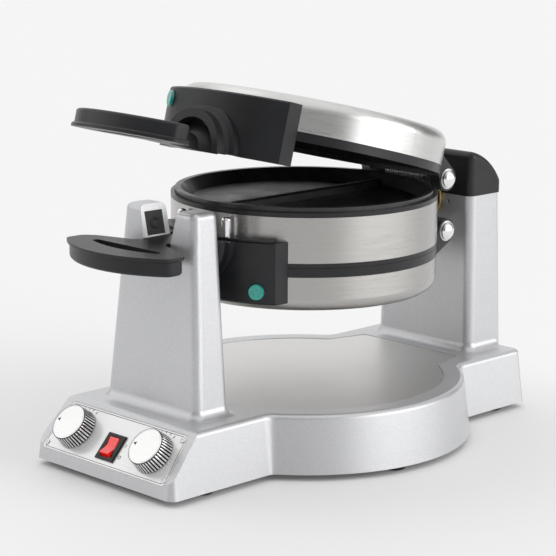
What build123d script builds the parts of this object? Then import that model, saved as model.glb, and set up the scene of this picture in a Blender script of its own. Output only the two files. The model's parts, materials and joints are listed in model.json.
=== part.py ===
"""Rotary double waffle and omelette maker, in millimetres.

X runs to the right as seen from the control panel, Y runs from the panel to the rear,
Z is up. The origin is on the table, below the middle of the overall length.
The round unit turns about an axis along Y. Its upper lid is modelled 15 degrees ajar.
"""
from build123d import *
import math
import os

# ---------------------------------------------------------------- driving dimensions
overall_length = 403.5
foot_height = 5.0
wall = 3.0
gap = 0.3                      # clearance between parts that move past each other
running_gap = 0.06             # radial clearance of a shaft in its bore

# base
base_half_width = 78.0
base_front_y = -195.0
base_rear_y = 205.0             # from the deck's own middle, as are all places along Y below
length_shift = overall_length / 2 - base_rear_y
deck_z = 49.5
base_draft = 7.3
base_corner_radius = 7.0
base_edge_radius = 4.0
round_radius = 135.0           # outside of the round middle, at the table
tray_radius = 112.7
tray_thickness = 1.2
tray_lobe_near = (61.0, 94.0)  # half width and distance from the centre
tray_lobe_far = (52.0, 130.0)
tray_corner_radius = 6.0

# control panel, on a slope at the front
slope_degrees = 47.6
panel_centre = (0.0, -181.0, 30.75)
panel_top_half_width = 65.0
panel_bottom_half_width = 70.0
panel_half_height = 20.6
panel_thickness = 1.2
knob_spacing = 87.0
knob_top_radius = 14.7
knob_bottom_radius = 16.6
knob_height = 12.0
knob_shaft_radius = 3.0
switch_width = 19.6
switch_height = 22.2
switch_offset = -5.3           # down the slope from the panel's middle
switch_tilt = 8.0
pivot_radius = 1.4

# turning unit
unit_y = 15.0
axis_z = 176.0
shell_radius = 105.0
band_half_height = 17.2
trim_top = 20.7                # from the turning axis, as are the next heights
rim_top = 24.1
ring_top = 27.6
lid_corner_start = 45.0
lid_edge_height = 54.0
lid_crown_height = 57.5
lid_edge_radius = 98.2
plate_radius = 101.5
pan_radius = 96.5
pan_depth = 10.0
plate_skin = 2.5
sheet = 1.0
plate_gap = gap
peg_pitch = 15.6
peg_half = 5.6
peg_height = 7.0
heater_radius = 68.0
heater_tube = 3.3
heater_height = 8.0
heater_end_x = 17.5
lid_open_degrees = 15.0
hinge_distance = 123.0         # behind the unit's centre
hinge_height = 21.5
hinge_pin_radius = 3.0
hinge_head_radius = 7.5
hinge_eye_radius = 10.0
pad_face = 110.5               # outer radius of a lid's hinge plate
rotor_pad_face = 112.0
head_dome = 3.0                # how far a pin's domed head stands up
dome_radius = (hinge_head_radius ** 2 + head_dome ** 2) / (2 * head_dome)
dome_depth = dome_radius - head_dome
spring_radius = 6.0
spring_wire = 1.1
spring_pitch = 3.4
boss_end = 142.5
collar_start = 173.2
shaft_end = 179.5

# brackets and handles
bracket_radius = 116.0
bracket_half_angle = 34.3
bracket_end_angle = 38.3
bracket_height = 47.3
journal_outer = 31.0
journal_inner = 24.5
journal_front = -126.3         # from the unit's centre
neck_radius = 12.5
root_radius = 20.0
paddle_thickness = 14.0
paddle_rear = -164.5
paddle_front = base_rear_y - overall_length - unit_y
paddle_half_width = 56.0
lamp_radius = 6.0
lamp_angle = 27.3
lamp_height = 37.6
guide_pin_radius = 3.8
guide_pin_circle = 109.6
guide_pin_angle = 12.8
guide_pin_length = 15.5
guide_pocket_depth = 114.6
journal_recess = -114.0
bracket_screw_angles = (-26.5, 26.5)
paddle_lip = 1.4
slot_half_width = 47.0

# front fork
foot_curve = 7.0
fork_bottom = (51.5, -146.7, -113.3)   # half width, front y, rear y at the deck
fork_top = (39.0, -137.5, -112.8)
fork_top_z = 200.0
fork_gap_radius = 15.0
fork_gap_top = 25.0
fork_front_at_axis = -140.2
pad_height = 10.0              # middle of the fork's pads above the turning axis
liner_radius = 12.8

# rear tower
tower_bottom = (52.0, 160.0, 204.0)
tower_top = (48.5, 161.5, 200.5)
tower_top_z = 180.5
cap_top_z = 218.0
shaft_radius = 10.0
shaft_bore = 7.0
cord_seat_y = base_rear_y - 3.0
cap_half_width = 48.5
cap_wall = 2.6
board_low = 14.0

os.makedirs("parts", exist_ok=True)
nodes = {}


def keep(name, shape):
    """Store one named piece, moved so that Y = 0 is the middle of the overall length."""
    solids = (Pos(0, length_shift, 0) * shape).solids()
    nodes[name] = solids[0] if len(solids) == 1 else Compound(children=list(solids))


def box(low, high):
    """A box from its lowest to its highest corner."""
    size = [b - a for a, b in zip(low, high)]
    middle = [(a + b) / 2 for a, b in zip(low, high)]
    return Pos(*middle) * Box(*size)


def rod(radius, start, end, axis):
    """A cylinder along one axis ("X", "Y" or "Z") between two places on it."""
    turned = {"X": Rot(0, 90, 0), "Y": Rot(-90, 0, 0), "Z": Rot(0, 0, 0)}[axis]
    middle = (start + end) / 2
    place = {"X": Pos(middle, 0, 0), "Y": Pos(0, middle, 0), "Z": Pos(0, 0, middle)}[axis]
    return place * turned * Cylinder(radius, abs(end - start))


def tube(outer, inner, start, end, axis):
    return rod(outer, start, end, axis) - rod(inner, start - 1, end + 1, axis)


def sector(inner, outer, half_angle, low, high, middle_angle=-90.0):
    """A ring segment about Z, centred on the given direction."""
    reach = outer * 1.6
    points = [(0, 0)]
    steps = 6
    for i in range(steps + 1):
        angle = math.radians(middle_angle - half_angle + 2 * half_angle * i / steps)
        points.append((reach * math.cos(angle), reach * math.sin(angle)))
    wedge = extrude(make_face(Polyline(*points, close=True)), high - low)
    return tube(outer, inner, low, high, "Z") & (Pos(0, 0, low) * wedge)


def place_unit(shape):
    """From the unit's own frame, with its centre on the turning axis, to the part's frame."""
    return Pos(0, unit_y, axis_z) * shape


def flip(shape):
    """Half a turn about the turning axis: what is on top is made again below."""
    return Rot(0, 180, 0) * shape


def ajar(shape):
    """Swing a closed upper lid's piece to the angle it rests at."""
    hinge = Axis((0, hinge_distance, hinge_height), (-1, 0, 0))
    return shape.rotate(hinge, lid_open_degrees)


def on_slope(shape):
    """From the panel's own plane (X right, Y up the slope, Z out of it)."""
    angle = math.radians(slope_degrees)
    normal = (0, -math.sin(angle), math.cos(angle))
    return Plane(origin=panel_centre, x_dir=(1, 0, 0), z_dir=normal).location * shape


# ---------------------------------------------------------------- base
def base_plan(inset):
    """The base's outline: a long box with a round middle."""
    rear = base_rear_y + 12            # cut back later by the rear face
    length = rear - base_front_y
    middle = (rear + base_front_y) / 2
    outline = Pos(0, middle) * Rectangle(2 * (base_half_width - inset), length - 2 * inset)
    outline += Pos(0, unit_y) * Circle(round_radius - inset)
    return fillet(outline.vertices(), base_corner_radius - inset)


def drafted_block(inset, low, high):
    """The base's outline, drawn in towards its top."""
    return Pos(0, 0, low) * extrude(base_plan(inset), high - low, taper=base_draft)


def rear_cutter(depth):
    """Everything behind the base's upright rear face, moved in by depth."""
    lean = math.degrees(math.atan((base_rear_y - tower_top[2]) / (tower_top_z - foot_height)))
    face = Plane(origin=(0, base_rear_y - depth, foot_height), x_dir=(1, 0, 0), z_dir=(0, 1, 0))
    return face.location * Rot(lean, 0, 0) * Pos(0, 0, 100) * Box(500, 700, 200)


def slope_cutter(depth):
    """Everything in front of the sloping panel face, moved in by depth."""
    return on_slope(box((-200, -120, -depth), (200, 120, 150)))


def tower_section(bottom, top, high, z, inset, radius):
    """A post's rounded rectangle at one height."""
    share = (z - deck_z) / (high - deck_z)
    half, front, rear = (a + (b - a) * share for a, b in zip(bottom, top))
    outline = RectangleRounded(2 * (half - inset), rear - front - 2 * inset, radius)
    return Pos(0, (front + rear) / 2, z) * outline


def tower_block(bottom, top, high, inset, radius):
    """A post that tapers from the deck to its top."""
    ends = [tower_section(bottom, top, high, z, inset, radius) for z in (deck_z - 4, high)]
    return loft(ends, ruled=True)


def tower_foot(bottom, top, high, radius):
    """The hollow curve that a post's foot meets the deck in."""
    sections = []
    steps = 5
    for i in range(steps + 1):
        turn = math.radians(90 * i / steps)
        spread = foot_curve * (1 - math.sin(turn))
        z = deck_z + foot_curve * (1 - math.cos(turn))
        sections.append(tower_section(bottom, top, high, z, -spread, radius + spread))
    return loft(sections)


def fork_gap(radius, top_half_width):
    """The slot for the handle's neck: round below the axis, opening out above it."""
    top = fork_top_z + 20
    sides = [(-radius, axis_z), (radius, axis_z), (top_half_width, top), (-top_half_width, top)]
    profile = make_face(Polyline(*sides, close=True)) + Pos(0, axis_z) * Circle(radius)
    return Pos(0, -100, 0) * Rot(90, 0, 0) * extrude(profile, 60)


def tray_outline(grow):
    """The steel tray: a disc with a lobe that runs back to the rear tower."""
    near_x, near_y = tray_lobe_near
    far_x, far_y = tray_lobe_far
    lobe = [(-near_x, near_y - 30), (near_x, near_y - 30), (near_x, near_y), (far_x, far_y),
            (-far_x, far_y), (-near_x, near_y)]
    lobe_face = make_face(Polyline(*lobe, close=True))
    outline = Circle(tray_radius) + lobe_face
    corners = [v for v in outline.vertices() if v.Y > near_y - 5]
    outline = fillet(corners, tray_corner_radius)
    return Pos(0, unit_y) * offset(outline, grow)


def base_screw_places():
    return [(x, y) for x in (-58, 58) for y in (-128, -88, 118, 150)]


def make_base():
    deck_solid = drafted_block(0, foot_height, deck_z) - slope_cutter(0) - rear_cutter(0)
    corners = [e for e in deck_solid.edges() if e.center().Y > 190 and e.length > 40
               and abs(e.center().X) > 60 and abs(e.center().Z - 27) < 6]
    deck_solid = fillet(corners, base_corner_radius - 1)
    top_face = deck_solid.faces().sort_by(Axis.Z)[-1]
    deck_solid = fillet(top_face.edges(), base_edge_radius)
    fork = tower_block(fork_bottom, fork_top, fork_top_z, 0, 6.5)
    fork = fillet(fork.faces().sort_by(Axis.Z)[-1].edges(), 4.5)
    rear_bottom = (tower_bottom[0], tower_bottom[1], tower_bottom[2] + 15)
    rear_top = (tower_top[0], tower_top[1], tower_top[2] + 15)
    tower = tower_block(rear_bottom, rear_top, tower_top_z, 0, 7.5) - rear_cutter(0)
    corners = [e for e in tower.edges() if e.center().Y > 195 and e.length > 105]
    tower = fillet(corners, 7.0)
    tower += tower_foot(rear_bottom, rear_top, tower_top_z, 7.5) - rear_cutter(2 * base_edge_radius)
    shell = deck_solid + fork
    shell += tower_foot(fork_bottom, fork_top, fork_top_z, 6.5)
    shell += tower

    inside = drafted_block(wall, foot_height - 1, deck_z - wall) - slope_cutter(wall)
    fork_room = tower_block(fork_bottom, fork_top, fork_top_z, wall, 4)
    room_top = axis_z - fork_gap_radius - wall
    fork_room -= box((-90, -170, room_top), (90, -90, 220))
    tower_room = tower_block(rear_bottom, rear_top, tower_top_z, wall, 5)
    for room in (inside, fork_room, tower_room):
        shell -= room - rear_cutter(wall)
    shell -= fork_gap(fork_gap_radius, fork_gap_top)
    # posts that take the bottom cover's screws
    for x, y in base_screw_places():
        shell += rod(5, foot_height + 3.0, deck_z - wall + 1, "Z").moved(Location((x, y, 0)))
        shell -= rod(1.6, foot_height, 25, "Z").moved(Location((x, y, 0)))
    # seat of the steel tray
    seat_depth = tray_thickness + 0.3
    shell -= Pos(0, 0, deck_z - seat_depth) * extrude(tray_outline(0.4), 10)
    # openings behind the control panel
    for x in (-knob_spacing / 2, knob_spacing / 2):
        shell -= on_slope(Pos(x, 0, 0) * Cylinder(4.2, 20))
    shell -= on_slope(Pos(0, switch_offset, 0) * Box(16.4, 19.0, 20))
    shell -= on_slope(Pos(0, 0, -panel_thickness) * extrude(panel_outline(0.4), 20))
    for x, y in panel_screw_places():
        shell -= on_slope(Pos(x, y, 0) * Cylinder(1.0, 20))
    # bearing seat in the rear tower and the cord's outlet
    shell -= rod(15, 150, 170, "Y").moved(Location((0, 0, axis_z)))
    for x, z in bearing_screw_places():
        shell -= rod(1.6, 155, 170, "Y").moved(Location((x, 0, axis_z + z)))
    shell -= rod(7.0, 190, 215, "Y").moved(Location((-45, 0, 24)))
    shell -= rod(10.7, cord_seat_y, 215, "Y").moved(Location((-45, 0, 24)))
    # recesses for the fork's inner pads
    for side in (-1, 1):
        shell -= fork_pad_shape(side, 0.1)
    keep("base_housing", shell)


def panel_outline(grow):
    top, bottom, half = panel_top_half_width, panel_bottom_half_width, panel_half_height
    corners = [(-bottom, -half), (bottom, -half), (top, half), (-top, half)]
    face = make_face(Polyline(*corners, close=True))
    return offset(fillet(face.vertices(), 4.0), grow)


def panel_screw_places():
    return [(-66.2, -16.6), (66.2, -16.6), (-62.3, 16.6), (62.3, 16.6)]


def fork_pad_shape(side, grow):
    """A rectangular pad let into the inner face of a fork cheek."""
    lean = math.atan((fork_gap_top - fork_gap_radius) / (fork_top_z + 20 - axis_z))
    face_x = fork_gap_radius + pad_height * math.tan(lean)
    pad = Pos(side * 1.7, 0, 0) * Box(4.0 + 2 * grow, 17 + 2 * grow, 18 + 2 * grow)
    turn = Rot(0, side * math.degrees(lean), 0)
    return Pos(side * face_x, -126.0, axis_z + pad_height) * turn * pad


def make_tray():
    tray = extrude(tray_outline(0), tray_thickness)
    keep("steel_tray", Pos(0, 0, deck_z - 0.3 - tray_thickness) * tray)


def make_bottom_cover():
    cover = Pos(0, 0, foot_height + 0.2) * extrude(base_plan(wall + 1.2), 2.4)
    cover -= rear_cutter(wall + 1.2)
    for x, y in base_screw_places():
        cover -= rod(2.0, 0, 20, "Z").moved(Location((x, y, 0)))
    for side in (-1, 1):
        for i in range(7):
            slot = Box(34, 2.6, 20)
            cover -= Pos(side * 45, unit_y - 36 + 12 * i, foot_height) * slot
    for x, y in foot_places():
        cover -= rod(3.1, 0, 20, "Z").moved(Location((x, y, 0)))
    for x in (-45, 45):
        for y in (-123, -77):
            cover += rod(2.6, foot_height + 1, board_low - 0.1, "Z").moved(Location((x, y, 0)))
    keep("bottom_cover", cover)
    parts = []
    for x, y in base_screw_places():
        head = rod(3.4, foot_height - 1.6, foot_height + 0.2, "Z")
        shank = rod(1.6, foot_height, foot_height + 12, "Z")
        slot = box((-2.6, -0.4, 0), (2.6, 0.4, foot_height - 0.8))
        parts.append(Pos(x, y, 0) * (head + shank - slot))
    keep("cover_screws", Compound(children=parts))


def foot_places():
    front = [(-62, -152), (62, -152)]
    return front + [(-118, unit_y - 20), (118, unit_y - 20), (-62, 178), (62, 178)]


def make_feet():
    feet = []
    for x, y in foot_places():
        pad = fillet(rod(9, 0, foot_height + 0.2, "Z").edges().sort_by(Axis.Z)[:1], 1.2)
        stem = rod(3.0, foot_height, foot_height + 4.5, "Z") + rod(4.2, foot_height + 2.6, foot_height + 5, "Z")
        feet.append(Pos(x, y, 0) * (pad + stem))
    keep("rubber_feet", Compound(children=feet))


# ---------------------------------------------------------------- control panel
def make_panel():
    panel = Pos(0, 0, -panel_thickness) * extrude(panel_outline(0), panel_thickness)
    for x in (-knob_spacing / 2, knob_spacing / 2):
        panel -= Pos(x, 0, 0) * Cylinder(4.2, 10)
    panel -= Pos(0, switch_offset, 0) * Box(16.4, 19.0, 10)
    for x, y in panel_screw_places():
        panel -= Pos(x, y, 0) * Cylinder(1.6, 10)
    keep("control_panel", on_slope(panel))
    screws = []
    for x, y in panel_screw_places():
        head = Pos(0, 0, 0.45) * Cylinder(2.5, 0.9)
        head = fillet(head.edges().sort_by(Axis.Z)[-1:], 0.5)
        shank = Pos(0, 0, -3) * Cylinder(1.0, 6.2)
        cross = Pos(0, 0, 1.0) * (Box(2.8, 0.5, 1.0) + Box(0.5, 2.8, 1.0))
        screws.append(on_slope(Pos(x, y, 0) * (head + shank - cross)))
    keep("panel_screws", Compound(children=screws))


def make_dial(side, name):
    """A thermostat dial: the control behind the panel, and the knob on its spindle."""
    x = side * knob_spacing / 2
    can = Pos(0, 0, -13.5) * Cylinder(11.5, 15)
    neck = Pos(0, 0, -3.2) * Cylinder(4.0, 6.0)
    nut = Pos(0, 0, 1.2) * extrude(RegularPolygon(6.2, 6), 1.8)
    thread = Pos(0, 0, 1.4) * Cylinder(4.0, 3.6)
    tabs = [Pos(4 * i, 11.8, -18) * Box(2, 3.4, 0.8) for i in (-1, 1)]
    control = can + neck + nut + thread + tabs[0] + tabs[1]
    control -= Pos(0, 0, -6) * Cylinder(knob_shaft_radius + running_gap, 22)
    keep(f"{name}_thermostat_control", on_slope(Pos(x, 0, 0) * control))

    radii = (knob_bottom_radius, knob_top_radius)
    body = Pos(0, 0, 0.5 + (knob_height - 1.3) / 2) * Cone(radii[0], radii[1], knob_height - 1.3)
    body -= Pos(0, 0, 2.5) * Cylinder(8.0, 5.4)
    flute = Pos(knob_bottom_radius + 0.55, 0, knob_height / 2) * Rot(0, -9.6, 0) * Cylinder(1.0, 20)
    flutes = [Rot(0, 0, 12 * i) * flute for i in range(30)]
    body -= Compound(children=flutes)
    spindle = Pos(0, 0, -4.5) * Cylinder(knob_shaft_radius, 20)
    body += spindle
    keep(f"{name}_knob_body", on_slope(Pos(x, 0, 0) * body))

    cap_base = knob_height - 0.8
    cap = Pos(0, 0, cap_base + 0.6) * Cylinder(knob_top_radius - 0.1, 1.2)
    cap = fillet(cap.edges().sort_by(Axis.Z)[-1:], 0.5)
    pointer = [(-13.2, 0), (-10.6, 1.5), (-10.6, -1.5)]
    mark = Pos(0, 0, cap_base + 0.9) * extrude(make_face(Polyline(*pointer, close=True)), 2)
    keep(f"{name}_knob_cap", on_slope(Pos(x, 0, 0) * (cap - mark)))


def make_switch():
    """A rocker switch that clips into the panel."""
    bezel = Pos(0, 0, 0.8) * Box(switch_width, switch_height, 1.6)
    bezel = fillet(bezel.edges().group_by(Axis.Z)[-1], 0.7)
    case = Pos(0, 0, -7) * Box(16.0, 18.6, 14)
    pocket = Pos(0, 0, -1) * Box(10.8, 17.0, 10)
    sockets = rod(pivot_radius + running_gap, -6.6, 6.6, "X")
    keep("switch_case", on_slope(Pos(0, switch_offset, 0) * (bezel + case - pocket - sockets)))
    outline = [(-7.7, -2.6), (7.7, -2.6), (7.4, 3.6), (0, 1.2), (-7.4, 3.6)]
    rocker = extrude(make_face(Polyline(*outline, close=True)), 5.0, both=True)
    rocker = fillet(rocker.edges().filter_by(GeomType.LINE), 0.5)
    rocker = Plane(origin=(0, 0, 0), x_dir=(0, 1, 0), z_dir=(1, 0, 0)).location * rocker
    rocker += rod(pivot_radius, -6.3, 6.3, "X")
    keep("power_rocker", on_slope(Pos(0, switch_offset, 0) * Rot(-switch_tilt, 0, 0) * rocker))


# ---------------------------------------------------------------- inside the base
def make_electrics():
    board = box((-50, -128, board_low), (50, -72, board_low + 1.6))
    keep("control_board", board)
    relays = [box((x, -112, board_low + 1.6), (x + 18, -90, board_low + 16)) for x in (-38, 20)]
    keep("relays", Compound(children=relays))
    block = box((-28, 150, foot_height + 2.8), (28, 168, 24))
    for i in range(4):
        block -= rod(3.0, 16, 30, "Z").moved(Location((-19.5 + 13 * i, 159, 0)))
    keep("terminal_block", block)
    flange = tube(10.5, 4.0, cord_seat_y, base_rear_y - 0.2, "Y")
    sleeve = tube(6.8, 4.0, 190, cord_seat_y + 0.5, "Y")
    keep("cord_gland", (flange + sleeve).moved(Location((-45, 0, 24))))


# ---------------------------------------------------------------- turning unit: core
def turned(points):
    """A body of revolution about Z from points of (radius, height)."""
    profile = make_face(Polyline(*[(r, 0, z) for r, z in points], close=True))
    return revolve(profile, Axis.Z)


def make_band():
    band = tube(shell_radius, shell_radius - sheet, -band_half_height, band_half_height, "Z")
    for place in rotor_screw_places():
        band -= place * Cylinder(1.6, 20)
    keep("middle_band", place_unit(band))
    ring = tube(shell_radius - 0.1, plate_radius + 0.4, band_half_height, trim_top, "Z")
    keep("middle_trim_rings", place_unit(Compound(children=[ring, flip(ring)])))


def flat_plate():
    """A shallow non-stick omelette pan with a broad flat rim."""
    floor = rim_top - pan_depth
    under = floor - plate_skin
    wall_x = pan_radius - 6
    return turned([(0, under), (wall_x, under), (pan_radius - 1.5, under + 4.9),
                   (plate_radius, under + 4.9), (plate_radius, rim_top), (pan_radius + 0.5, rim_top),
                   (wall_x, floor), (0, floor)])


def plate_divider():
    """The raised bar that parts a pan into two halves."""
    floor = rim_top - pan_depth
    bar = box((-3, -88, floor - 0.5), (3, 88, floor + 6.5))
    return chamfer(bar.edges().filter_by(Axis.Y).group_by(Axis.Z)[-1], 1.6)


def waffle_plate():
    """A pan floor covered with a grid of square pegs."""
    floor = rim_top - pan_depth
    plate = flat_plate() + plate_divider()
    pegs = []
    for i in range(-5, 6):
        for j in range(-5, 6):
            x = peg_pitch * i
            y = peg_pitch * j
            if i == 0 or math.hypot(abs(x) + peg_half, abs(y) + peg_half) > pan_radius - 8:
                continue
            peg = Pos(x, y, floor - 0.4) * extrude(Rectangle(2 * peg_half, 2 * peg_half),
                                                   peg_height + 0.4, taper=9)
            pegs.append(peg)
    return plate + pegs


def heater(height):
    """A tubular heating element bent into an open ring, with its two cold ends."""
    opening = math.degrees(math.asin(heater_end_x / heater_radius))
    path = CenterArc((0, 0, height), heater_radius, 90 + opening, 360 - 2 * opening)
    ring = sweep(Plane(origin=path @ 0, z_dir=path % 0) * Circle(heater_tube), path=path)
    for x in (-heater_end_x, heater_end_x):
        end = rod(heater_tube, 60, 76, "Y").moved(Location((x, 0, height)))
        ring += end
    return ring


def mirrored_up(shape):
    """From the middle body's upper plate to the closed lid's plate that faces it."""
    return mirror(shape, Plane(origin=(0, 0, rim_top + plate_gap / 2), z_dir=(0, 0, 1)))


def make_core():
    pan = flat_plate() + plate_divider()
    keep("omelette_plate_middle", place_unit(pan))
    keep("waffle_plate_middle", place_unit(flip(waffle_plate())))
    partition = tube(shell_radius - sheet - 0.3, 12, -0.6, 0.6, "Z")
    for x in (-40, 40):
        partition -= rod(5, -2, 2, "Z").moved(Location((x, 70, 0)))
    keep("middle_partition", place_unit(partition))
    keep("omelette_heater_middle", place_unit(heater(heater_height)))
    keep("waffle_heater_middle", place_unit(flip(heater(heater_height))))
    cells = []
    for side in (-1, 1):
        can = rod(9, 3.0, 8.0, "Z") + rod(5.5, 8.0, 11.2, "Z")
        can += box((-11.5, -1, 4.4), (11.5, 1, 5.2))
        cells.append(Pos(0, -20, 0) * (can if side > 0 else flip(can)))
    keep("middle_thermostats", place_unit(Compound(children=cells)))


def rotor_screw_places():
    """Radial places on the rear of the band for the hinge block's screws."""
    return [Rot(0, 0, angle) * Pos(0, shell_radius, z) * Rot(90, 0, 0)
            for angle in (-11, 11) for z in (-9, 9)]


# ---------------------------------------------------------------- lids
def lid_ring():
    return tube(shell_radius, plate_radius + 0.4, trim_top + 0.2, ring_top, "Z")


def lid_shell():
    """The spun metal cover of a lid: upright side, rounded shoulder and shallow dome."""
    def outline(inset):
        side = shell_radius - inset
        shoulder = (lid_edge_radius + 4.4 - inset * 0.8, lid_edge_height - 3.1 - inset * 0.6)
        edge = (lid_edge_radius - 0.3 * inset, lid_edge_height - inset)
        crown = (0, lid_crown_height - inset)
        valley = (edge[0] - 5.5, edge[1] - 0.7)
        middle = (edge[0] * 0.55, edge[1] + (crown[1] - edge[1]) * 0.72)
        return (side, lid_corner_start), shoulder, edge, valley, middle, crown

    def solid_under(inset):
        start, shoulder, edge, valley, middle, crown = outline(inset)
        points = [(start[0], 0, ring_top + 0.2), (start[0], 0, start[1])]
        line = Polyline(*points)
        bend = ThreePointArc(points[1], (shoulder[0], 0, shoulder[1]), (edge[0], 0, edge[1]))
        roll = Line((edge[0], 0, edge[1]), (valley[0], 0, valley[1]))
        dome = Spline((valley[0], 0, valley[1]), (middle[0], 0, middle[1]), (0, 0, crown[1]),
                      tangents=[(-1, 0, 0.2), (-1, 0, 0)])
        base_line = Polyline((0, 0, crown[1]), (0, 0, ring_top + 0.2), points[0])
        return revolve(make_face(line + bend + roll + dome + base_line), Axis.Z)

    return solid_under(0) - solid_under(sheet)


def hinge_arm(pad_outer):
    """A lid's hinge plate with its two arms, round at the pin."""
    arm = sector(shell_radius + 0.1, pad_outer, 22.8, 22.5, 41.5, 90)
    sides = []
    for side in (-1, 1):
        eye = rod(hinge_eye_radius, side * 34, side * 43, "X")
        eye = Pos(0, hinge_distance, hinge_height) * eye
        corners = [(104.0, 41.5), (108.0, 41.5), (hinge_distance + 6.5, hinge_height + 7.6),
                   (hinge_distance - 2, hinge_height - hinge_eye_radius + 0.2),
                   (hinge_distance - 9.5, hinge_height - 2.0), (104.0, 30.0)]
        web = make_face(Polyline(*[(0, y, z) for y, z in corners], close=True))
        web = extrude(web, 4.5, dir=(1, 0, 0), both=True)
        sides.append(eye + Pos(side * 38.5, 0, 0) * web)
    arm = arm + sides[0] + sides[1]
    arm -= rod(shell_radius + 0.1, 0, 60, "Z")
    bore = rod(hinge_pin_radius + running_gap, -60, 60, "X")
    return arm - Pos(0, hinge_distance, hinge_height) * bore


def bracket_wedge():
    """The bracket's plan: a sector whose slanting ends run out to the shell."""
    def at(radius, angle):
        turn = math.radians(angle - 90)
        return (radius * math.cos(turn), radius * math.sin(turn))

    foot = at(shell_radius, bracket_end_angle)
    edge = at(bracket_radius, bracket_half_angle)
    beyond = (2 * edge[0] - foot[0], 2 * edge[1] - foot[1])
    right = [at(0, 0), at(shell_radius - 8, bracket_end_angle), foot, beyond]
    front = [at(1.4 * bracket_radius, angle) for angle in (25, 0, -25)]
    left = [(-x, y) for x, y in reversed(right[1:])]
    return make_face(Polyline(*right, *front, *left, close=True))


def bracket():
    """The black block on a lid's front, with half of the journal that rests in the fork."""
    low = gap / 2 + 1.0
    body = tube(bracket_radius, shell_radius + 0.1, low, bracket_height, "Z")
    body &= Pos(0, 0, low) * extrude(bracket_wedge(), bracket_height - low)
    face = body.faces().sort_by(Axis.Z)[-1]
    outer = [e for e in face.edges() if math.hypot(e.center().X, e.center().Y) > bracket_radius - 3]
    body = chamfer(outer, 1.2)
    half = box((-60, -140, low), (60, -100, 60))
    collar = tube(journal_outer, journal_inner, journal_front, -108, "Y") & half
    flare = turned_y([(journal_inner, -108), (journal_outer + 6, -108), (journal_outer + 6, -115.0),
                      (journal_outer + 2.2, -116.6), (journal_outer, -119.6), (journal_inner, -119.6)])
    body = body + collar + (flare & half)
    body -= rod(journal_inner, journal_recess, -140, "Y")
    body -= rod(shell_radius + 0.1, -10, 70, "Z")
    for angle in (-guide_pin_angle, guide_pin_angle):
        pocket = box((-6, -guide_pocket_depth, -1), (6, -100, guide_pin_length + 1.5))
        body -= Rot(0, 0, angle) * pocket
    x, y = lamp_place()
    body -= Pos(x, y, lamp_height) * Rot(0, 0, -lamp_angle) * rod(lamp_radius + 0.2, -8, 12, "Y")
    for angle in bracket_screw_angles:
        for height in (12, 40):
            hole = Pos(0, 0, height) * rod(1.6, -113, -100, "Y")
            body -= Rot(0, 0, angle) * hole
    return body


def turned_y(points):
    """A body of revolution about Y from points of (radius, y)."""
    profile = make_face(Polyline(*[(r, y, 0) for r, y in points], close=True))
    return revolve(profile, Axis.Y)


def lamp_place():
    angle = math.radians(lamp_angle)
    return -bracket_radius * math.sin(angle), -bracket_radius * math.cos(angle)


def lamp():
    """A round indicator lens in a thin collar."""
    lens = rod(lamp_radius, 5.0, -0.6, "Y") + Pos(0, -0.6, 0) * Sphere(lamp_radius)
    lens &= box((-9, -2.6, -9), (9, 5, 9))
    x, y = lamp_place()
    return Pos(x, y, lamp_height) * Rot(0, 0, -lamp_angle) * lens


def handle_half():
    """Half of the handle: root, round neck, and a broad paddle with half of a finger slot."""
    low = gap / 2
    above = box((-80, -230, low), (80, -100, 40))
    root = turned_y([(0, -114.4), (root_radius, -114.4), (root_radius, -119.0),
                     (neck_radius, -127.5), (0, -127.5)]) & above
    neck = rod(neck_radius, -126.0, paddle_rear - 4, "Y") & above
    block = Pos(0, 0, low) * extrude(paddle_outline(0), paddle_thickness - low)
    block = fillet(block.edges().group_by(Axis.Z)[-1], 2.4)
    lip = Pos(0, 0, low) * extrude(paddle_outline(paddle_lip), 3.4)
    lip = chamfer(lip.edges().group_by(Axis.Z)[-1], 1.2)
    shape = root + neck + block + lip
    return shape - Pos(0, 0, -1) * extrude(finger_slot(), 40)


def paddle_outline(grow):
    half = paddle_half_width + grow
    front = paddle_front + paddle_lip - grow
    side_front = paddle_front + 22 - grow
    side_rear = paddle_rear - 15 + grow
    points_front = [(-half, side_front), (0, front), (half, side_front)]
    edge = ThreePointArc(*points_front)
    rear = Polyline((half, side_front), (half, side_rear), (half - 9, paddle_rear - 8 + grow),
                    (neck_radius + 10, paddle_rear + grow), (-neck_radius - 10, paddle_rear + grow),
                    (9 - half, paddle_rear - 8 + grow), (-half, side_rear), (-half, side_front))
    outline = make_face(edge + rear)
    corners = [v for v in outline.vertices() if abs(v.X) > 30]
    outline = fillet(corners, 8.0)
    waist = [(-neck_radius, paddle_rear + 8.5), (neck_radius, paddle_rear + 8.5),
             (neck_radius + 12, paddle_rear - 3), (-neck_radius - 12, paddle_rear - 3)]
    joined = outline + make_face(Polyline(*waist, close=True))
    return joined


def finger_slot():
    """The opening for fingers: straight at the rear, bowed at the front."""
    rear_y = paddle_rear - 16.5
    front_y = paddle_front + 20.5
    bow = ThreePointArc((-slot_half_width, rear_y), (0, front_y), (slot_half_width, rear_y))
    face = make_face(bow + Line((slot_half_width, rear_y), (-slot_half_width, rear_y)))
    return fillet(face.vertices(), 3.0)


def make_lid(name, place):
    """All the pieces of one lid, modelled closed and then placed."""
    pieces = {
        "lid_ring": lid_ring(),
        "lid_shell": lid_shell(),
        "lid_heater": heater(2 * rim_top + plate_gap - heater_height),
        "hinge_arm": hinge_arm(pad_face),
        "bracket": bracket(),
        "lamp": lamp(),
        "handle": handle_half(),
    }
    plate = waffle_plate() if name == "lower" else flat_plate() + plate_divider()
    pieces["lid_plate"] = mirrored_up(plate)
    for piece, shape in pieces.items():
        keep(f"{name}_{piece}", place_unit(place(shape)))


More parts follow.
